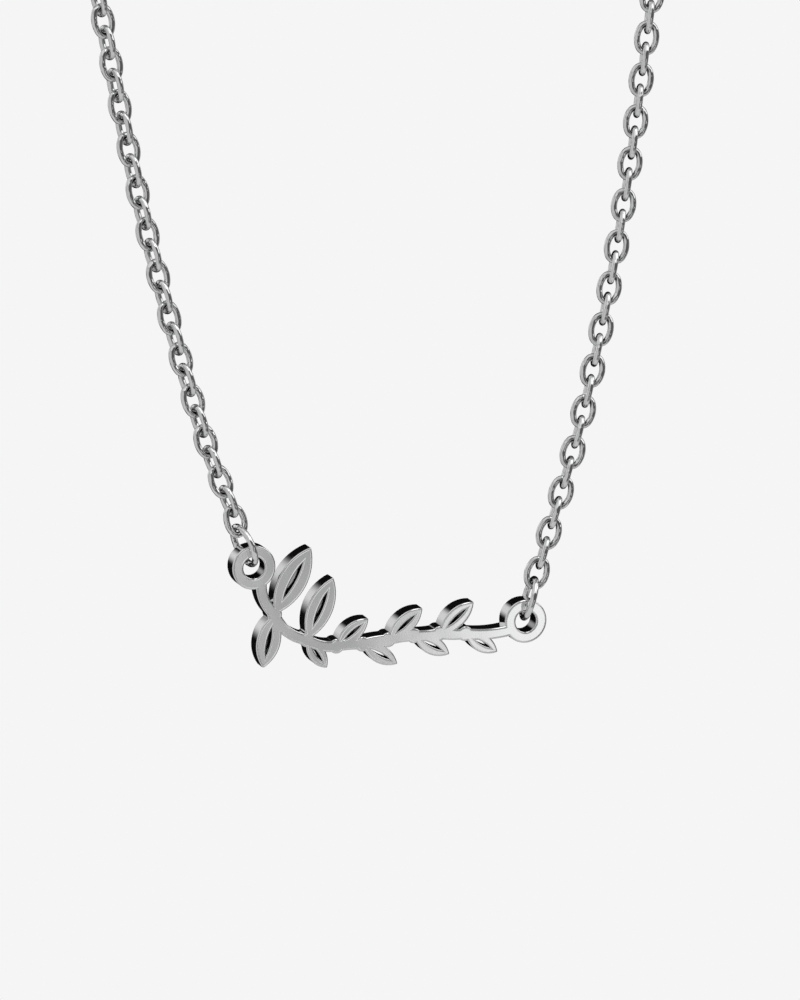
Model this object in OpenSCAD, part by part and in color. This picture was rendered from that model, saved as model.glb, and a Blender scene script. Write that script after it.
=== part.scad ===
// Nameplate necklace: a flat cut plate hung by two jump rings in a fine oval link chain.
// Millimetres. The origin is where the chain rests on the nape, +Z is up and the plate faces -Y.

/* [Nameplate] */
// Thickness of the sheet that the nameplate is cut from
plate_thickness = 1.7; // [1.3:0.05:1.8]
// Outer diameter of each end eye
eye_diameter = 3.8; // [3.6:0.05:4.2]
// Diameter of the hole through each end eye
eye_hole = 1.86; // [1.6:0.02:2.1]
// Distance across from the left eye's centre to the right eye's
eye_span = 24.3; // [22:0.1:28]
// How much lower the right eye's centre lies than the left eye's
eye_drop = 6.4; // [5.4:0.1:7]
// How far the left eye hangs to the left of the loop's middle
eye_offset = 13.35; // [12:0.05:15]

/* [Sprig] */
// Depth from the left eye's centre that the heights of the stem's buds are shares of
stem_drop = 7.2; // [6.6:0.1:7.8]
// Width of the stem
stem_width = 0.95; // [0.8:0.05:1.1]
// Diameter of the buds that the leaves spring from
bud_diameter = 1.3; // [1.2:0.05:1.5]
// Length that the leaves' lengths are shares of
leaf_length = 4.0; // [3.7:0.1:4.4]
// Width that the leaves' widths are shares of
leaf_width = 1.7; // [1.5:0.05:1.9]
// Width that the leaf veins' widths are shares of: each vein is a slit cut through
vein_width = 0.26; // [0.22:0.02:0.32]

/* [Jump rings] */
// Outer diameter of each jump ring
ring_diameter = 4.0; // [3.9:0.05:4.4]
// Diameter of the jump rings' wire
ring_wire = 0.55; // [0.45:0.01:0.6]
// Lean of the left ring away from the middle, in degrees
ring_lean_left = 19; // [12:1:24]
// Lean of the right ring away from the middle, in degrees
ring_lean_right = 17.5; // [12:0.5:24]
// Turn of the left ring about the strand that holds it, in degrees
ring_turn_left = 10; // [5:1:12]
// Turn of the right ring about the strand that holds it, in degrees
ring_turn_right = -10; // [-12:1:-5]

/* [Chain] */
// Outer length of a link
link_length = 3.0; // [2.92:0.01:3.1]
// Outer width of a link
link_width = 2.2; // [2.15:0.01:2.3]
// Diameter of the links' wire
link_wire = 0.53; // [0.47:0.01:0.54]
// Radius of a link's round ends, at the middle of the wire
link_end_radius = 0.7; // [0.68:0.01:0.74]
// Turn of the right strand's crossing links past square to its flat ones, in degrees
crossing_turn = 5; // [0:1:8]
// Clear gap left between metal and metal wherever one piece hooks into the next
hook_gap = 0.12; // [0.11:0.01:0.14]

/* [Clasp] */
// Outer diameter of the clasp's ring
clasp_diameter = 5.5; // [5:0.1:7]
// Diameter of the clasp's tube
clasp_tube = 1.0; // [0.8:0.05:1.3]
// Outer diameter of the small eye soldered to each side of the clasp
clasp_eye_diameter = 2.4; // [2.3:0.05:2.8]
// Diameter of the wire of the clasp's eyes
clasp_eye_wire = 0.6; // [0.5:0.02:0.62]

/* [Hang] */
// How far below the nape the left eye hangs
hang_drop = 100; // [96:0.5:104]
// How far in front of the nape the plate hangs
hang_reach = 112; // [110:0.5:114]

/* [Hidden] */

LEFT = -1;
RIGHT = 1;

// The stem's buds from left to right. Columns: place across as a share of eye_span, height as a share
// of stem_drop, and the stem's bulge from there to the next bud as a share of the distance to it
BUDS = [
    [0.074, -0.580, -0.13],
    [0.192, -0.915, -0.09],
    [0.300, -1.020, 0.03],
    [0.395, -1.020, 0.03],
    [0.490, -0.990, 0.03],
    [0.585, -0.965, -0.03],
    [0.680, -0.960, -0.04],
    [0.775, -0.985, -0.05],
];

// The leaves. Columns: the bud that each springs from, its lean from upright in degrees, its length as a
// share of leaf_length, and its width and its vein's as a share of leaf_width and vein_width
LEAVES = [
    [0, 30, 1.62, 1.50],
    [0, 193, 1.18, 1.26],
    [1, 24, 1.44, 1.34],
    [1, 146, 0.78, 0.88],
    [2, 52, 0.90, 0.94],
    [3, 122, 0.92, 0.92],
    [4, 50, 1.00, 1.00],
    [5, 120, 0.92, 0.96],
    [6, 50, 1.00, 1.00],
    [7, 122, 0.86, 0.92],
];

// Where the stem meets each eye's rim, in degrees anticlockwise from straight right
STEM_START = -62;
STEM_END = 208;
// Bulge of the stem's first stretch, as a share of its length
FIRST_BULGE = -0.12;
// Where a leaf's vein starts and ends, as shares of the leaf's length
VEIN_FROM = 0.24;
VEIN_TO = 0.78;
// Share of its length that a leaf's tip is cut back, so that it isn't sharp
TIP_CUT = 0.012;

// The chain's route on each side, from above the jump ring to beside the clasp, chosen by hand.
// Columns: x, y, z, and the way that the flat links face in degrees from straight ahead
ROUTE_RIGHT = [
    [16.3, -111.2, -90, -18],
    [19.1, -109.8, -80, -18],
    [21.4, -108.5, -70, -18],
    [23.2, -107.4, -60, -18],
    [24.9, -106.4, -50, -15],
    [27.6, -104.5, -39, -1],
    [32.1, -99.5, -28, 22],
    [38.5, -90.0, -18, 45],
    [44.8, -75.0, -10.5, 65],
    [48.0, -57.0, -6, 85],
    [46.5, -38.0, -3.2, 105],
    [39.2, -20.5, -1.5, 130],
    [27.4, -7.5, -0.5, 152],
    [13.8, -0.3, 0, 172],
    [10.2, 0.76, 0, 176],
];
ROUTE_LEFT = [
    [-16.8, -111.2, -90, 16],
    [-19.4, -109.8, -80, 16],
    [-21.6, -108.5, -70, 16],
    [-23.4, -107.4, -60, 16],
    [-25.1, -106.4, -50, 13],
    [-27.7, -104.5, -39, -1],
    [-32.1, -99.5, -28, -24],
    [-38.5, -90.0, -18, -47],
    [-44.8, -75.0, -10.5, -68],
    [-48.0, -57.0, -6, -88],
    [-46.5, -38.0, -3.2, -108],
    [-39.2, -20.5, -1.5, -132],
    [-27.4, -7.5, -0.5, -154],
    [-13.8, -0.3, 0, -173],
    [-10.2, 0.76, 0, -176],
];
// Degrees from one point of a hole's edge to the next where a ring is kept clear of it
EDGE_STEP = 2;
// Steps that the route is drawn in from one chosen point to the next
ROUTE_STEPS = 16;
// Straight run of the route at each end, as a share of the distance from link to link
LEAD_LINKS = 1;
// How slim a link's sides are as a share of its ends, and how far they run in as a share of the wire
SLIMMER = 0.96;
RUN_IN = 0.2;

silver_light = [0.80, 0.81, 0.82];
silver_mid = [0.62, 0.63, 0.65];

$fn = 48;

ring_inner = ring_diameter / 2 - ring_wire;
ring_middle = (ring_diameter - ring_wire) / 2;
link_pitch = link_length - 2 * link_wire - hook_gap;
// From the centre of what a link hooks into, whose inner radius is given, to the link's own centre
function hook_reach(inner_radius) = inner_radius - hook_gap - link_wire + link_length / 2;
clasp_back = link_width / 2;
clasp_eye_across = (clasp_diameter + clasp_eye_diameter - clasp_eye_wire) / 2;

function unit(v) = v / norm(v);
function lean(side) = side == LEFT ? ring_lean_left : ring_lean_right;
function turn(side) = side == LEFT ? ring_turn_left : ring_turn_right;
// The way up along the first links of one side's strand
function strand_up(side) = [side * sin(lean(side)), 0, cos(lean(side))];
// Centre of an eye in the plate's own outline, about the left eye
function eye_flat(side) = side == LEFT ? [0, 0] : [eye_span, -eye_drop];
function eye_at(side) = [eye_flat(side)[0] - eye_offset, -hang_reach, eye_flat(side)[1] - hang_drop];

// The plate hangs in a ring by the edges of its eye's hole. Highest place of the ring's centre over the
// eye's at which the wire stays clear of one point of that edge, at an angle round from the hole's top
function clear_rise(turned, angle) =
    let (across = eye_hole / 2 * sin(angle))
    let (through = plate_thickness / 2 * cos(turned) + across * sin(turned))
    let (beside = across * cos(turned) - plate_thickness / 2 * sin(turned))
    let (room = pow(ring_wire / 2 + hook_gap, 2) - pow(beside, 2))
    room > 0 ? eye_hole / 2 * cos(angle) + sqrt(pow(ring_middle - sqrt(room), 2) - pow(through, 2))
             : ring_diameter;
function ring_rise(side) = min([for (angle = [0 : EDGE_STEP : 90]) clear_rise(abs(turn(side)), angle)]);
function ring_at(side) = eye_at(side) + ring_rise(side) * strand_up(side);
function first_link_at(side) = ring_at(side) + hook_reach(ring_inner) * strand_up(side);
function clasp_eye_at(side) = [side * clasp_eye_across, clasp_back, 0];
function last_link_at(side) =
    clasp_eye_at(side) + side * hook_reach(clasp_eye_diameter / 2 - clasp_eye_wire) * [1, 0, 0];

// A route's point with the way that the links face there
function faced(place, facing) = [place[0], place[1], place[2], facing];
function place_of(point) = [point[0], point[1], point[2]];
function reach(a, b) = norm(place_of(b) - place_of(a));

// The whole list of points that one side's strand passes through
function route(side) =
    let (chosen = side == LEFT ? ROUTE_LEFT : ROUTE_RIGHT)
    let (lead = LEAD_LINKS * link_pitch)
    let (start = first_link_at(side))
    let (end = last_link_at(side))
    let (start_facing = chosen[0][3])
    let (end_facing = side * 180)
    concat(
        [faced(start, start_facing), faced(start + lead * strand_up(side), start_facing)],
        chosen,
        [faced(end + side * lead * [1, 0, 0], end_facing), faced(end, end_facing)]
    );

// Change of the route at a chosen point for each millimetre along it
function heading(points, i) =
    let (before = max(i - 1, 0))
    let (after = min(i + 1, len(points) - 1))
    let (way = (i > 0 ? reach(points[i - 1], points[i]) : 0)
             + (i < len(points) - 1 ? reach(points[i], points[i + 1]) : 0))
    (points[after] - points[before]) / way;

// A smooth curve between two points that leaves and arrives along the given headings
function curve_between(a, b, head_a, head_b, u) =
    let (size = reach(a, b))
    (2 * pow(u, 3) - 3 * pow(u, 2) + 1) * a
    + (pow(u, 3) - 2 * pow(u, 2) + u) * size * head_a
    + (3 * pow(u, 2) - 2 * pow(u, 3)) * b
    + (pow(u, 3) - pow(u, 2)) * size * head_b;

function smooth(points) = [
    for (i = [0 : len(points) - 2])
        for (k = [0 : ROUTE_STEPS - 1])
            curve_between(points[i], points[i + 1], heading(points, i), heading(points, i + 1),
                k / ROUTE_STEPS),
    points[len(points) - 1]
];

// Distance along a drawn route to each of its points
function distances(drawn) = [
    for (
        i = 0, total = 0;
        i < len(drawn);
        i = i + 1, total = total + (i < len(drawn) ? reach(drawn[i - 1], drawn[i]) : 0)
    ) total
];

// Points at equal steps along a drawn route
function spaced(drawn, steps) =
    let (along = distances(drawn))
    let (whole = along[len(along) - 1])
    let (tables = [for (c = [0 : 3]) [for (i = [0 : len(drawn) - 1]) [along[i], drawn[i][c]]]])
    [for (k = [0 : steps]) [for (c = [0 : 3]) lookup(whole * k / steps, tables[c])]];

// Steps from the first link to the last: an odd number, so that the last link lies across the first
function link_steps(drawn) =
    let (along = distances(drawn))
    2 * ceil((along[len(along) - 1] / link_pitch - 1) / 2) + 1;

// A stretch of stem between two points of the outline, bulging to its left by a share of its length
module stem_arc(a, b, bulge) {
    chord = norm(b - a);
    sag = abs(bulge) * chord;
    radius = (pow(chord / 2, 2) + pow(sag, 2)) / (2 * sag);
    along = (b - a) / chord;
    left = [-along[1], along[0]] * sign(bulge);
    centre = (a + b) / 2 - (radius - sag) * left;
    // The wedge that keeps this arc's part of the whole ring
    far = 2;
    wedge = [[0, 0], far * (a - centre), far * radius * left, far * (b - centre)];
    translate(centre) intersection() {
        difference() {
            circle(r = radius + stem_width / 2);
            circle(r = radius - stem_width / 2);
        }
        polygon(wedge);
    }
}

function bud_at(i) = [BUDS[i][0] * eye_span, BUDS[i][1] * stem_drop];
rim_middle = (eye_diameter + eye_hole) / 4;
function on_rim(side, angle) = eye_flat(side) + rim_middle * [cos(angle), sin(angle)];

module stem() {
    last = len(BUDS) - 1;
    stem_arc(on_rim(LEFT, STEM_START), bud_at(0), FIRST_BULGE);
    for (i = [0 : last - 1]) stem_arc(bud_at(i), bud_at(i + 1), BUDS[i][2]);
    stem_arc(bud_at(last), on_rim(RIGHT, STEM_END), BUDS[last][2]);
    for (i = [0 : last]) translate(bud_at(i)) circle(d = bud_diameter);
}

// A blade with two bowed sides that stands on the origin and comes to a point at each end
module blade(length, width) {
    radius = (pow(length, 2) + pow(width, 2)) / (4 * width);
    intersection_for (side = [LEFT, RIGHT])
        translate([side * (radius - width / 2), length / 2]) circle(r = radius);
}

module leaf(length, width, vein) {
    difference() {
        intersection() {
            blade(length, width);
            translate([0, length / 2]) circle(r = length * (0.5 - TIP_CUT));
        }
        translate([0, length * VEIN_FROM]) blade(length * (VEIN_TO - VEIN_FROM), vein);
    }
}

module leaves() {
    for (row = LEAVES)
        translate(bud_at(row[0])) rotate(-row[1])
            leaf(row[2] * leaf_length, row[3] * leaf_width, row[3] * vein_width);
}

module plate_outline() {
    difference() {
        union() {
            stem();
            leaves();
            for (side = [LEFT, RIGHT]) translate(eye_flat(side)) circle(d = eye_diameter);
        }
        for (side = [LEFT, RIGHT]) translate(eye_flat(side)) circle(d = eye_hole);
    }
}

module nameplate() {
    color(silver_light)
        translate(eye_at(LEFT))
        rotate([90, 0, 0])
        linear_extrude(height = plate_thickness, center = true) plate_outline();
}

// A closed ring of round wire about the Z axis
module round_ring(diameter, wire) {
    rotate_extrude() translate([(diameter - wire) / 2, 0]) circle(d = wire);
}

module jump_ring(side) {
    color(silver_mid)
        translate(ring_at(side))
        rotate(a = turn(side), v = strand_up(side))
        rotate([0, 90 + side * lean(side), 0]) round_ring(ring_diameter, ring_wire);
}

module wire_arc(radius, from, sweep, wire) {
    rotate_extrude(angle = sweep, start = from) translate([radius, 0]) circle(d = wire);
}

// One oval link, flat about the Z axis and long along Y. Its two bowed sides are a hair slimmer than
// its round ends and run a little way into them, so the four make one piece of metal
module chain_link() {
    half_length = (link_length - link_wire) / 2;
    half_width = (link_width - link_wire) / 2;
    end_centre = half_length - link_end_radius;
    side_radius = (pow(end_centre, 2) + pow(half_width, 2) - pow(link_end_radius, 2))
                / (2 * (half_width - link_end_radius));
    side_centre = side_radius - half_width;
    turn = atan2(end_centre, side_centre);
    run_in = link_wire * RUN_IN / side_radius * 180 / PI;
    for (way = [0, 180]) rotate(way) {
        translate([0, end_centre]) wire_arc(link_end_radius, turn, 180 - 2 * turn, link_wire);
        translate([-side_centre, 0])
            wire_arc(side_radius, -turn - run_in, 2 * (turn + run_in), link_wire * SLIMMER);
    }
}

// Stands a link at a place with its length along one direction and its flat side to another
module stood(at, along, flat) {
    across = cross(along, flat);
    multmatrix([
        [across[0], along[0], flat[0], at[0]],
        [across[1], along[1], flat[1], at[1]],
        [across[2], along[2], flat[2], at[2]],
        [0, 0, 0, 1],
    ]) children();
}

module strand(side) {
    drawn = smooth(route(side));
    steps = link_steps(drawn);
    links = spaced(drawn, steps);
    for (i = [0 : steps]) {
        along = unit(place_of(links[min(i + 1, steps)]) - place_of(links[max(i - 1, 0)]));
        facing = links[i][3];
        ahead = [sin(facing), -cos(facing), 0];
        flat = unit(ahead - (ahead * along) * along);
        past_square = side == RIGHT ? crossing_turn : 0;
        crossed = cos(past_square) * cross(along, flat) - sin(past_square) * flat;
        stood(place_of(links[i]), along, i % 2 == 0 ? flat : crossed) chain_link();
    }
}

module chain(side) {
    color(silver_mid) strand(side);
}

// The clasp lies flat against the nape: a closed ring with a small eye soldered to each side
module clasp() {
    color(silver_mid)
        translate([0, clasp_back, 0])
        rotate([90, 0, 0]) {
            round_ring(clasp_diameter, clasp_tube);
            for (side = [LEFT, RIGHT])
                translate([side * clasp_eye_across, 0]) round_ring(clasp_eye_diameter, clasp_eye_wire);
        }
}

nameplate();
jump_ring(LEFT);  // ring_left
jump_ring(RIGHT);  // ring_right
chain(LEFT);  // chain_left
chain(RIGHT);  // chain_right
clasp();
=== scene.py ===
"""Looks of the nameplate necklace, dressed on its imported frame.

Metres, +Z up. The plate faces -Y, and the origin is where the chain rests on the nape.
"""

import math
from typing import NamedTuple

import bpy
import numpy as np
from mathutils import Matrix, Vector
from mathutils.geometry import tessellate_polygon


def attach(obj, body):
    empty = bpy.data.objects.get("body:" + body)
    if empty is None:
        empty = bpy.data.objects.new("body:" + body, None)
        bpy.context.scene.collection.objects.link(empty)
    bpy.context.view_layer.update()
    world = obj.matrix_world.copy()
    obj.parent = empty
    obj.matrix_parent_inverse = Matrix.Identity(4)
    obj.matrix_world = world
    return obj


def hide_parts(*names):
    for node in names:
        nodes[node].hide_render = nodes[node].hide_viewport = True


MM = 0.001

# Camera: the way round and up from the plate's front, the point it looks at, how far off it is, the
# height that it takes in at that point, its sensor's height in millimetres and the nearest that it sees
CAMERA_AZIMUTH = math.radians(-18.0)
CAMERA_ELEVATION = math.radians(11.9)
CAMERA_TARGET = Vector((-0.16, -112.0, -95.18)) * MM
CAMERA_DISTANCE = 442.7 * MM
CAMERA_FIELD = 85.0 * MM
SENSOR_HEIGHT = 36.0
CAMERA_NEAREST = 1.0 * MM

# Floor: how far it lies below the nape and how far it reaches each way, with the pale grey of it and
# of what lies past it
FLOOR_DROP = 300.0 * MM
FLOOR_REACH = 30.0
GROUND_COLOUR = (0.913, 0.913, 0.913, 1)

# Links: the round ends' radius at the middle of the wire, steps along each of a link's four arcs,
# and sides round its wire. They keep the longer strand under 200,000 triangles
LINK_END_RADIUS = 0.7 * MM
LINK_ARC_STEPS = 10
LINK_SIDES = 20

# Painted shade darkens the metal inside the ends of the links, where they hang in each other, and on the
# walls of the plate's holes: the shares of a link's half length from which it starts and is full, how much
# of it is on a hole's wall, how light the metal is under it as a share of the unshaded silver, and the
# name under which a mesh keeps it
PAINTED_SHADE_FROM = 0.55
PAINTED_SHADE_FULL = 0.90
HOLE_PAINTED_SHADE = 0.85
PAINTED_SHADE_LIGHTNESS = 0.30
PAINTED_SHADE = "tarnish"

# Jump rings: steps round each ring and sides round its wire
RING_STEPS = 96
RING_SIDES = 28

# Plate: the slight bevel along its cut edges and how far it tilts, the rounding beyond it and the steps
# round that, the turn past which the outline has a corner, how far in a corner's edges may be drawn as a
# share of how far in the others are, and the rounds in which an outline that folds over itself is opened
BEVEL_WIDTH = 0.08 * MM
BEVEL_TILT = math.radians(5)
EDGE_ROUNDING = 0.12 * MM
EDGE_STEPS = 4
CORNER_TURN = math.radians(30)
MITRE_LIMIT = 2.5
UNFOLDING_ROUNDS = 60

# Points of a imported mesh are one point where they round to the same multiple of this
WELD = 0.0005 * MM

# The silver's finish: the size of its faint clouds, how finely its clouds, grain and waves break up, and
# its tint where it is darkest and lightest, as shares of its grey in red, green and blue, with the
# values of the clouds at which it is one and the other
CLOUD_SIZE = 3.0 * MM
CLOUD_DETAIL = 3.0
GRAIN_DETAIL = 2.0
WAVE_DETAIL = 0.0
DARK_TINT = (0.96, 0.965, 0.97)
LIGHT_TINT = (1.0, 1.0, 1.005)
DARK_AT = 0.3
LIGHT_AT = 0.7

# The studio, as the metal sees it. Each soft box is a range of directions from the necklace, given
# for x, y and z as the lowest and highest part of a direction one unit long and the width of the soft
# edge between dark and light, and then how bright it is. None leaves that side open. Between the boxes
# the studio is nearly dark
STUDIO_DARK = 0.004
WHITE = (1, 1, 1, 1)
SOFT_BOXES = {
    "front": ((None, None, 0), (None, -0.05, 0.40), (-0.75, None, 0.40), 0.10),
    "left": ((None, -0.28, 0.28), (None, 0.65, 0.36), (-0.60, 0.50, 0.40), 0.50),
    "left_panel": ((0.22, 0.271, 0.014), (None, -0.75, 0.08), (-0.31, -0.11, 0.06), 0.36),
    "panel": ((0.22, 0.40, 0.06), (None, -0.75, 0.08), (-0.31, -0.11, 0.06), 0.24),
    "bright_panel": ((0.306, 0.40, 0.04), (None, -0.75, 0.08), (-0.31, -0.11, 0.06), 0.77),
    "wall_light": ((None, -0.225, 0.15), (0.70, None, 0.20), (0.02, None, 0.27), 0.72),
    "far_left": ((None, -0.47, 0.12), (0.40, None, 0.30), (-0.45, 0.50, 0.20), 0.34),
    "far_right": ((0.60, None, 0.20), (0.00, 0.85, 0.20), (-0.50, 0.50, 0.30), 0.40),
    "above": ((None, None, 0), (None, None, 0), (0.60, None, 0.30), 0.34),
    "above_left": ((None, -0.12, 0.30), (None, 0.45, 0.30), (0.52, None, 0.20), 0.40),
    "overhead": ((0.00, 0.27, 0.08), (-0.78, -0.02, 0.10), (0.58, None, 0.06), 1.70),
    "overhead_right": ((0.50, None, 0.08), (-0.62, 0.08, 0.10), (0.28, None, 0.08), 1.20),
    "below": ((None, None, 0), (None, 0.40, 0.40), (None, -0.60, 0.40), 0.62),
}

# A ring of light round the panel that the plate's face mirrors, which its bevels mirror in their turn:
# the direction of its centre, its inner and outer edge as angles from there, how soft they are, and how
# bright it is
RING_CENTRE = (0.302, -0.930, -0.208)
RING_FROM = math.radians(8.5)
RING_TO = math.radians(11.5)
RING_SOFTNESS = 0.004
RING_BRIGHTNESS = 0.75


def tube_faces(rings, sides):
    """Quads that join rings of points into a closed tube that meets itself."""
    faces = []
    for i in range(rings):
        for k in range(sides):
            after = (i + 1) % rings
            beside = (k + 1) % sides
            faces.append((i * sides + k, after * sides + k, after * sides + beside, i * sides + beside))
    return faces


def sides_round(sides):
    """Angles round a wire, from its outer side."""
    return np.arange(sides) * (2 * math.pi / sides)


def tube_points(centres, outward, wire, sides):
    """Points round a wire of the given radius that follows a closed line, flat about Z."""
    turns = sides_round(sides)
    round_out = np.cos(turns)[None, :, None] * outward[:, None, :]
    round_up = np.sin(turns)[None, :, None] * np.array([0.0, 0.0, 1.0])
    return (centres[:, None, :] + wire * (round_out + round_up)).reshape(-1, 3)


def arc(centre, radius, start, end, steps):
    """Points from start up to, not including, end, with the way out at each."""
    angles = start + (end - start) * np.arange(steps) / steps
    out = np.stack([np.cos(angles), np.sin(angles), np.zeros(steps)], axis=1)
    return np.array([centre[0], centre[1], 0.0]) + radius * out, out


def link_line(length, width, wire):
    """The middle line of one oval link, flat about Z and long along Y, with the way out at each point."""
    half_length = length / 2 - wire
    half_width = width / 2 - wire
    end_centre = half_length - LINK_END_RADIUS
    flat_end = half_width - LINK_END_RADIUS
    side_radius = (end_centre**2 + half_width**2 - LINK_END_RADIUS**2) / (2 * flat_end)
    side_centre = side_radius - half_width
    turn = math.atan2(end_centre, side_centre)
    arcs = [
        arc((-side_centre, 0), side_radius, -turn, turn, LINK_ARC_STEPS),
        arc((0, end_centre), LINK_END_RADIUS, turn, math.pi - turn, LINK_ARC_STEPS),
        arc((side_centre, 0), side_radius, math.pi - turn, math.pi + turn, LINK_ARC_STEPS),
        arc((0, -end_centre), LINK_END_RADIUS, math.pi + turn, 2 * math.pi - turn, LINK_ARC_STEPS),
    ]
    points, outward = zip(*arcs)
    return np.concatenate(points), np.concatenate(outward)


def link_painted_shade(centres):
    """Painted shade at each point of a link's surface, from 0 to 1: most inside its two ends."""
    towards_end = np.abs(centres[:, 1]) / np.abs(centres[:, 1]).max()
    near_end = np.clip((towards_end - PAINTED_SHADE_FROM) / (PAINTED_SHADE_FULL - PAINTED_SHADE_FROM), 0, 1)
    inside = (1 - np.cos(sides_round(LINK_SIDES))) / 2
    return (near_end[:, None] * inside[None, :]).reshape(-1)


def ring_shape(radius, wire):
    """Points of a round ring about Z, of round wire."""
    centres, outward = arc((0, 0), radius, 0, 2 * math.pi, RING_STEPS)
    return tube_points(centres, outward, wire, RING_SIDES)


def shared_spots(places):
    """The number of one point at each spot where points lie together, and the spot of each point."""
    _, first, spot_of = np.unique(
        np.rint(places / WELD).astype(int), axis=0, return_index=True, return_inverse=True
    )
    return first, spot_of.reshape(-1)


def loose_solids(node):
    """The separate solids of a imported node, each as its triangles' corners."""
    mesh = node.data
    mesh.calc_loop_triangles()
    places = np.empty(3 * len(mesh.vertices))
    mesh.vertices.foreach_get("co", places)
    corners = np.empty(3 * len(mesh.loop_triangles), int)
    mesh.loop_triangles.foreach_get("vertices", corners)
    places = places.reshape(-1, 3)
    corners = corners.reshape(-1, 3)
    first, spot_of = shared_spots(places)
    shared = spot_of[corners]
    group = np.arange(len(first))
    settled = False
    while not settled:
        before = group.copy()
        lowest = group[shared].min(axis=1)
        for k in range(3):
            np.minimum.at(group, shared[:, k], lowest)
        group = group[group]
        settled = bool((group == before).all())
    owner = group[shared[:, 0]]
    return [places[corners[owner == i]] for i in np.unique(owner)]


def stance(triangles):
    """A solid's centre, its right-handed axes from longest to shortest, and its extent along each."""
    sides_a = triangles[:, 1] - triangles[:, 0]
    sides_b = triangles[:, 2] - triangles[:, 0]
    areas = np.linalg.norm(np.cross(sides_a, sides_b), axis=1)
    middles = triangles.mean(axis=1)
    centre = (middles * areas[:, None]).sum(axis=0) / areas.sum()
    spread = (middles - centre) * np.sqrt(areas)[:, None]
    # eigh gives the axes as columns, the shortest first
    axes = np.linalg.eigh(spread.T @ spread)[1][:, ::-1].T
    axes[2] = np.cross(axes[0], axes[1])
    along = (triangles.reshape(-1, 3) - centre) @ axes.T
    return centre, axes, along.max(axis=0) - along.min(axis=0)


def new_piece(node, points, faces, body, material):
    """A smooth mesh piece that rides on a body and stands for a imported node."""
    name = "fine_" + node.name
    mesh = bpy.data.meshes.new(name)
    mesh.from_pydata(points.tolist(), [], faces)
    mesh.polygons.foreach_set("use_smooth", [True] * len(mesh.polygons))
    mesh.materials.append(material)
    mesh.update()
    piece = bpy.data.objects.new(name, mesh)
    bpy.context.scene.collection.objects.link(piece)
    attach(piece, body)
    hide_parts(node.name)
    return piece


def joined(shapes, faces):
    """Several shapes of the same make as one list of points and one of faces."""
    count = len(shapes[0])
    moved = [tuple(corner + i * count for corner in face) for i in range(len(shapes)) for face in faces]
    return np.concatenate(shapes), moved


def add_painted_shade(piece, shares):
    """Keeps with each point of a piece how much painted shade darkens its metal, from 0 to 1."""
    tarnish = piece.data.attributes.new(PAINTED_SHADE, "FLOAT", "POINT")
    tarnish.data.foreach_set("value", shares)


def fine_chain(node, material):
    """The strand with each of its links made of fine round wire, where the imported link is."""
    shapes = []
    for triangles in loose_solids(node):
        centre, axes, extent = stance(triangles)
        wire = extent[2] / 2
        centres, outward = link_line(extent[0], extent[1], wire)
        link = tube_points(centres, outward, wire, LINK_SIDES)
        length_way, width_way, flat_way = axes
        # The turned sign keeps the three ways right-handed, so that a link's faces look outwards
        shapes.append(centre + link @ np.array([-width_way, length_way, flat_way]))
    points, faces = joined(shapes, tube_faces(len(centres), LINK_SIDES))
    piece = new_piece(node, points, faces, "necklace", material)
    # Painted shade inside the ends of each link, darkening its colour
    add_painted_shade(piece, np.tile(link_painted_shade(centres), len(shapes)))


def fine_ring(node, material):
    """A jump ring of fine round wire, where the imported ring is."""
    (triangles,) = loose_solids(node)
    centre, axes, extent = stance(triangles)
    wire = extent[2] / 2
    points = centre + ring_shape(extent[0] / 2 - wire, wire) @ axes
    faces = tube_faces(RING_STEPS, RING_SIDES)
    new_piece(node, points, faces, "pendant", material)


def welded(triangles):
    """A solid's triangles as points that they share and the corners of each."""
    corners = triangles.reshape(-1, 3)
    first, spot_of = shared_spots(corners)
    return corners[first], spot_of.reshape(-1, 3)


def fine_clasp(node, material):
    """The clasp as it is packed, its points welded so that it shines as one smooth piece of metal."""
    (triangles,) = loose_solids(node)
    points, corners = welded(triangles)
    faces = [face for face in corners.tolist() if len(set(face)) == 3]
    new_piece(node, points, faces, "necklace", material)


def outline_loops(triangles, front):
    """The loops of points round a flat front face, each with the metal on its left seen from the front."""
    points, corners = welded(triangles)
    facing = (np.abs(triangles[:, :, 1] - front) < WELD).all(axis=1)
    flat = corners[facing]
    edges = set()
    for k in range(3):
        edges.update(zip(flat[:, k].tolist(), flat[:, (k + 1) % 3].tolist()))
    ways_on = {}
    for a, b in sorted(edges):
        if (b, a) not in edges:
            ways_on.setdefault(a, []).append(b)
    loops = []
    while ways_on:
        here = next(iter(ways_on))
        loop = []
        while here in ways_on:
            loop.append(here)
            onward = ways_on[here].pop()
            if not ways_on[here]:
                del ways_on[here]
            here = onward
        loops.append(points[loop][:, [0, 2]])
    return loops


class Step(NamedTuple):
    """A step of the way round the plate's edge: how far in it lies and how deep, and the way it faces."""

    inset: float
    depth: float
    outward: float
    along_depth: float


def edge_profile(front, back):
    """Steps from the front face round its edge to the back."""
    turns = np.linspace(BEVEL_TILT, math.pi / 2, EDGE_STEPS + 1)
    inset = EDGE_ROUNDING * (1 - np.sin(turns))
    depth = EDGE_ROUNDING * (np.cos(BEVEL_TILT) - np.cos(turns)) + BEVEL_WIDTH * math.tan(BEVEL_TILT)
    turns = np.concatenate([[BEVEL_TILT], turns])
    inset = np.concatenate([[inset[0] + BEVEL_WIDTH], inset])
    depth = np.concatenate([[0], depth])
    from_front = list(map(Step, inset, front + depth, np.sin(turns), -np.cos(turns)))
    from_back = list(map(Step, inset, back - depth, np.sin(turns), np.cos(turns)))
    return from_front + from_back[::-1]


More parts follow.
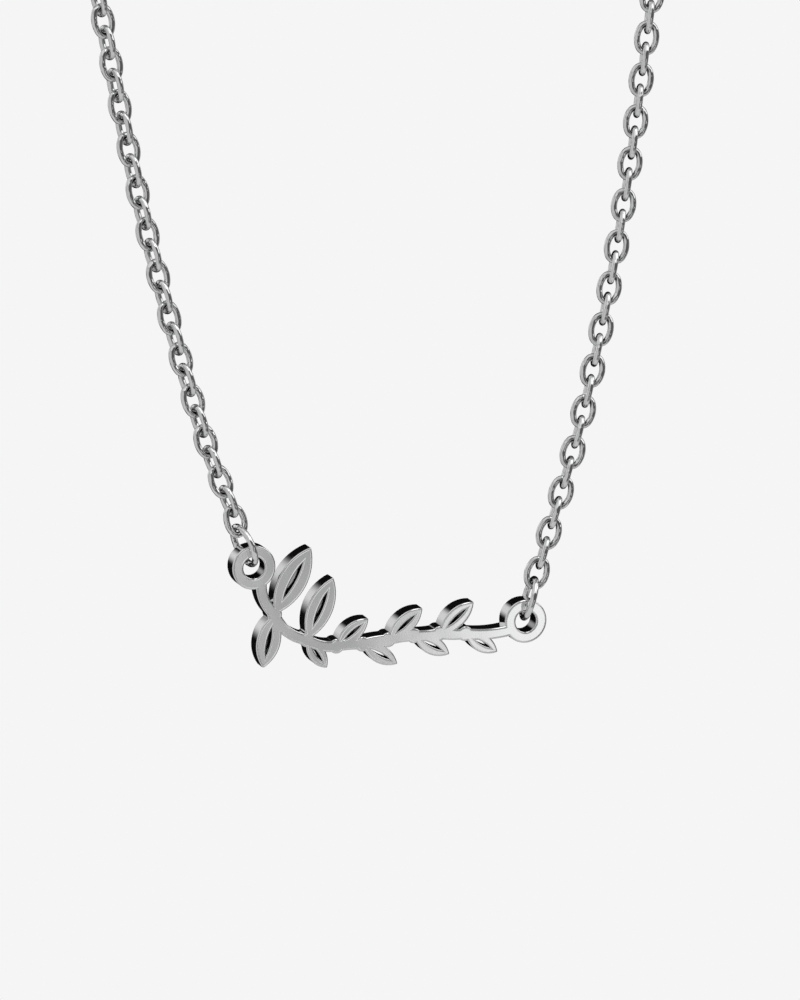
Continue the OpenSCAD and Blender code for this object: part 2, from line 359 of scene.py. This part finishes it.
def drawn_in(loop, mitre, inset):
    """A loop moved into the metal, its points closed up where it would fold over itself."""
    moved = loop - inset * mitre
    along = np.roll(loop, -1, axis=0) - loop
    for _ in range(UNFOLDING_ROUNDS):
        folded = ((np.roll(moved, -1, axis=0) - moved) * along).sum(axis=1) < 0
        for i in np.flatnonzero(folded):
            k = (i + 1) % len(loop)
            moved[[i, k]] = (moved[i] + moved[k]) / 2
    return moved


def rim_of(loop):
    """At each point of a loop: the mitre out of the metal, and the way out just before and after it."""
    along = np.roll(loop, -1, axis=0) - loop
    out_after = np.stack([along[:, 1], -along[:, 0]], axis=1) / np.linalg.norm(along, axis=1)[:, None]
    out_before = np.roll(out_after, 1, axis=0)
    both = out_before + out_after
    turned = (out_before * out_after).sum(axis=1)[:, None]
    mitre = both / (1 + turned)
    mitre *= np.minimum(1, MITRE_LIMIT / np.linalg.norm(mitre, axis=1))[:, None]
    smooth = both / np.linalg.norm(both, axis=1)[:, None]
    corner = turned < math.cos(CORNER_TURN)
    return mitre, np.where(corner, out_before, smooth), np.where(corner, out_after, smooth)


def goes_round_hole(loop):
    """Whether a loop runs clockwise as the front shows it, so round a hole."""
    x, z = loop.T
    return (x * np.roll(z, -1) - np.roll(x, -1) * z).sum() < 0


def edge_band(loop, profile, start):
    """The band round one loop's edge, from front to back: its points, faces and their corners' normals.

    The first of its points has the number start.
    """
    count = len(loop)
    mitre, out_before, out_after = rim_of(loop)
    points = []
    faces = []
    normals = []
    for step in profile:
        points += [(x, step.depth, z) for x, z in drawn_in(loop, mitre, step.inset)]
    for row in range(len(profile) - 1):
        for i in range(count):
            k = (i + 1) % count
            corners = (
                (row, i, out_after[i]),
                (row + 1, i, out_after[i]),
                (row + 1, k, out_before[k]),
                (row, k, out_before[k]),
            )
            faces.append([start + at * count + place for at, place, out in corners])
            for at, place, out in corners:
                step = profile[at]
                normals.append((step.outward * out[0], step.along_depth, step.outward * out[1]))
    return points, faces, normals


def anticlockwise(a, b, c):
    """Whether three points run anticlockwise, as the front shows them."""
    return (b[0] - a[0]) * (c[2] - a[2]) - (b[2] - a[2]) * (c[0] - a[0]) > 0


def flat_face(points, rims, facing):
    """Triangles that fill a flat face inside its rims, facing the front (-1) or the back (1)."""
    places = [place for rim in rims for place in rim]
    flat = [[Vector((points[place][0], points[place][2], 0)) for place in rim] for rim in rims]
    faces = []
    for triangle in tessellate_polygon(flat):
        face = [places[corner] for corner in triangle]
        if anticlockwise(*(points[place] for place in face)) != (facing < 0):
            face.reverse()
        faces.append(face)
    return faces


def fine_plate(node, material):
    """The plate with its cut edges softly rounded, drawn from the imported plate's own outline."""
    (triangles,) = loose_solids(node)
    front, back = triangles[:, :, 1].min(), triangles[:, :, 1].max()
    profile = edge_profile(front, back)
    # The straight wall of an edge lies between the two middle steps
    wall = (len(profile) // 2 - 1, len(profile) // 2)
    points = []
    faces = []
    normals = []
    tarnish = []
    front_rims = []
    back_rims = []
    for loop in outline_loops(triangles, front):
        start = len(points)
        band_points, band_faces, band_normals = edge_band(loop, profile, start)
        points += band_points
        faces += band_faces
        normals += band_normals
        front_rims.append(range(start, start + len(loop)))
        back_rims.append(range(len(points) - len(loop), len(points)))
        # Painted shade on the walls of the holes, darkening their colour
        hole_shade = HOLE_PAINTED_SHADE if goes_round_hole(loop) else 0.0
        for row in range(len(profile)):
            tarnish += [hole_shade if row in wall else 0.0] * len(loop)
    for rims, facing in ((front_rims, -1), (back_rims, 1)):
        filling = flat_face(points, rims, facing)
        faces += filling
        normals += [(0, facing, 0)] * (3 * len(filling))
    piece = new_piece(node, np.array(points), faces, "pendant", material)
    piece.data.normals_split_custom_set(normals)
    add_painted_shade(piece, tarnish)


def add_node(tree, kind, **values):
    """A shader node with the given properties, or values on the sockets of those names."""
    node = tree.nodes.new(kind)
    for name, value in values.items():
        if hasattr(node, name):
            setattr(node, name, value)
        else:
            node.inputs[name].default_value = value
    return node


def silver(name, grey, roughness, haze, grain_size, grain_depth, wave_size, wave_depth):
    """Polished, rhodium-plated silver: neutral grey, with faint clouds, fine grain and slow waves.

    The haze is how much rougher its lightest clouds are than its darkest. Sizes and depths are in metres.
    """
    material = bpy.data.materials.new(name)
    material.use_nodes = True
    tree = material.node_tree
    shader = tree.nodes["Principled BSDF"]
    shader.inputs["Metallic"].default_value = 1.0
    place = tree.nodes.new("ShaderNodeTexCoord").outputs["Object"]

    # Faint clouds in its tint, and painted shade that darkens it where a mesh keeps some
    cloud = add_node(tree, "ShaderNodeTexNoise", Scale=1 / CLOUD_SIZE, Detail=CLOUD_DETAIL)
    tree.links.new(place, cloud.inputs["Vector"])
    tint = tree.nodes.new("ShaderNodeValToRGB")
    dark, light = tint.color_ramp.elements
    for stop, position, shares in ((dark, DARK_AT, DARK_TINT), (light, LIGHT_AT, LIGHT_TINT)):
        stop.position = position
        stop.color = [grey * share for share in shares] + [1]
    tree.links.new(cloud.outputs["Fac"], tint.inputs["Fac"])
    tarnish = add_node(tree, "ShaderNodeAttribute", attribute_name=PAINTED_SHADE)
    shade = tree.nodes.new("ShaderNodeMapRange")
    shade.inputs["To Min"].default_value = 1.0
    shade.inputs["To Max"].default_value = PAINTED_SHADE_LIGHTNESS
    tree.links.new(tarnish.outputs["Fac"], shade.inputs["Value"])
    shaded = add_node(tree, "ShaderNodeVectorMath", operation="SCALE")
    tree.links.new(tint.outputs["Color"], shaded.inputs[0])
    tree.links.new(shade.outputs["Result"], shaded.inputs["Scale"])
    tree.links.new(shaded.outputs["Vector"], shader.inputs["Base Color"])

    # Haze in the same clouds
    polish = tree.nodes.new("ShaderNodeMapRange")
    polish.inputs["To Min"].default_value = roughness
    polish.inputs["To Max"].default_value = roughness + haze
    tree.links.new(cloud.outputs["Fac"], polish.inputs["Value"])
    tree.links.new(polish.outputs["Result"], shader.inputs["Roughness"])

    # The polishing grain, on slow waves in the surface
    grain = add_node(tree, "ShaderNodeTexNoise", Scale=1 / grain_size, Detail=GRAIN_DETAIL)
    tree.links.new(place, grain.inputs["Vector"])
    wave = add_node(tree, "ShaderNodeTexNoise", Scale=1 / wave_size, Detail=WAVE_DETAIL)
    tree.links.new(place, wave.inputs["Vector"])
    uneven = add_node(tree, "ShaderNodeBump", Distance=wave_depth)
    tree.links.new(wave.outputs["Fac"], uneven.inputs["Height"])
    bump = add_node(tree, "ShaderNodeBump", Distance=grain_depth)
    tree.links.new(grain.outputs["Fac"], bump.inputs["Height"])
    tree.links.new(uneven.outputs["Normal"], bump.inputs["Normal"])
    tree.links.new(bump.outputs["Normal"], shader.inputs["Normal"])
    return material


def pale_floor():
    """A wide plain floor, well below the necklace. The metal mirrors the studio and not the floor."""
    corners = [(-1, -1, 0), (1, -1, 0), (1, 1, 0), (-1, 1, 0)]
    mesh = bpy.data.meshes.new("floor")
    mesh.from_pydata([Vector(corner) * FLOOR_REACH for corner in corners], [], [(0, 1, 2, 3)])
    material = bpy.data.materials.new("pale_floor")
    material.use_nodes = True
    tree = material.node_tree
    tree.nodes.clear()
    glow = add_node(tree, "ShaderNodeEmission", Strength=1.0)
    glow.inputs["Color"].default_value = GROUND_COLOUR
    output = tree.nodes.new("ShaderNodeOutputMaterial")
    tree.links.new(glow.outputs["Emission"], output.inputs["Surface"])
    mesh.materials.append(material)
    floor = bpy.data.objects.new("floor", mesh)
    floor.location.z = -FLOOR_DROP
    floor.visible_glossy = False
    bpy.context.scene.collection.objects.link(floor)


def edge_step(tree, value, limit, softness, rising):
    """1 on one side of a limit and 0 on the other, with a soft step between."""
    step = add_node(tree, "ShaderNodeMapRange", interpolation_type="SMOOTHSTEP")
    step.inputs["From Min"].default_value = limit - softness / 2
    step.inputs["From Max"].default_value = limit + softness / 2
    step.inputs["To Min"].default_value = 0.0 if rising else 1.0
    step.inputs["To Max"].default_value = 1.0 if rising else 0.0
    tree.links.new(value, step.inputs["Value"])
    return step.outputs["Result"]


def combined(tree, operation, first, second):
    """The sum or product of two values, each of them a number or a node's output."""
    node = add_node(tree, "ShaderNodeMath", operation=operation)
    for value, socket in zip((first, second), node.inputs):
        if isinstance(value, float):
            socket.default_value = value
        else:
            tree.links.new(value, socket)
    return node.outputs["Value"]


def studio():
    """Soft boxes round a dark studio for the metal, and a plain pale ground behind it for the camera."""
    world = bpy.data.worlds.new("studio")
    world.use_nodes = True
    bpy.context.scene.world = world
    tree = world.node_tree
    tree.nodes.clear()
    place = tree.nodes.new("ShaderNodeTexCoord").outputs["Generated"]

    # The soft boxes
    split = tree.nodes.new("ShaderNodeSeparateXYZ")
    tree.links.new(place, split.inputs["Vector"])
    total = STUDIO_DARK
    for across, depth, height, brightness in SOFT_BOXES.values():
        share = brightness
        for way, (low, high, softness) in zip("XYZ", (across, depth, height)):
            for limit, rising in ((low, True), (high, False)):
                if limit is not None:
                    step = edge_step(tree, split.outputs[way], limit, softness, rising)
                    share = combined(tree, "MULTIPLY", share, step)
        total = combined(tree, "ADD", total, share)

    # The ring of light
    apart = add_node(tree, "ShaderNodeVectorMath", operation="DOT_PRODUCT")
    tree.links.new(place, apart.inputs[0])
    apart.inputs[1].default_value = RING_CENTRE
    ring = RING_BRIGHTNESS
    for limit, rising in ((math.cos(RING_TO), True), (math.cos(RING_FROM), False)):
        step = edge_step(tree, apart.outputs["Value"], limit, RING_SOFTNESS, rising)
        ring = combined(tree, "MULTIPLY", ring, step)
    total = combined(tree, "ADD", total, ring)

    # The metal sees the studio, and the camera sees the pale ground
    seen_by_metal = tree.nodes.new("ShaderNodeBackground")
    tree.links.new(total, seen_by_metal.inputs["Strength"])
    seen_by_metal.inputs["Color"].default_value = WHITE
    ground = tree.nodes.new("ShaderNodeBackground")
    ground.inputs["Color"].default_value = GROUND_COLOUR
    choice = tree.nodes.new("ShaderNodeMixShader")
    path = tree.nodes.new("ShaderNodeLightPath")
    tree.links.new(path.outputs["Is Camera Ray"], choice.inputs["Fac"])
    tree.links.new(seen_by_metal.outputs["Background"], choice.inputs[1])
    tree.links.new(ground.outputs["Background"], choice.inputs[2])
    output = tree.nodes.new("ShaderNodeOutputWorld")
    tree.links.new(choice.outputs["Shader"], output.inputs["Surface"])


def camera():
    """The photograph's view of the necklace."""
    data = bpy.data.cameras.new("camera")
    data.sensor_fit = "VERTICAL"
    data.sensor_height = SENSOR_HEIGHT
    data.lens = SENSOR_HEIGHT * CAMERA_DISTANCE / CAMERA_FIELD
    data.clip_start = CAMERA_NEAREST
    back = Vector((
        math.sin(CAMERA_AZIMUTH) * math.cos(CAMERA_ELEVATION),
        -math.cos(CAMERA_AZIMUTH) * math.cos(CAMERA_ELEVATION),
        math.sin(CAMERA_ELEVATION),
    ))
    view = bpy.data.objects.new("camera", data)
    view.location = CAMERA_TARGET + CAMERA_DISTANCE * back
    view.rotation_euler = back.to_track_quat("Z", "Y").to_euler()
    bpy.context.scene.collection.objects.link(view)
    bpy.context.scene.camera = view


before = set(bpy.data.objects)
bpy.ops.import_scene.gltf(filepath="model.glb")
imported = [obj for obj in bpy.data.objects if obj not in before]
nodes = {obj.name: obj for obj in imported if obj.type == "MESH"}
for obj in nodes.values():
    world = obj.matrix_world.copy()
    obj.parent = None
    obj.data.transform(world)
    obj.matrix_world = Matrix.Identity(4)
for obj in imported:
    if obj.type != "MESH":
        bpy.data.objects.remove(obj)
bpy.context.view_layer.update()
bpy.context.scene.view_settings.view_transform = "Standard"

plate_silver = silver(
    "plate_silver",
    grey=0.84,
    roughness=0.06,
    haze=0.04,
    grain_size=0.12 * MM,
    grain_depth=0.0004 * MM,
    wave_size=2.0 * MM,
    wave_depth=0.004 * MM,
)
wire_silver = silver(
    "wire_silver",
    grey=0.81,
    roughness=0.07,
    haze=0.05,
    grain_size=0.10 * MM,
    grain_depth=0.0006 * MM,
    wave_size=0.45 * MM,
    wave_depth=0.085 * MM,
)

camera()
studio()
pale_floor()
fine_plate(nodes["nameplate"], plate_silver)
fine_clasp(nodes["clasp"], wire_silver)
for name in ("ring_left", "ring_right"):
    fine_ring(nodes[name], wire_silver)
for name in ("chain_left", "chain_right"):
    fine_chain(nodes[name], wire_silver)
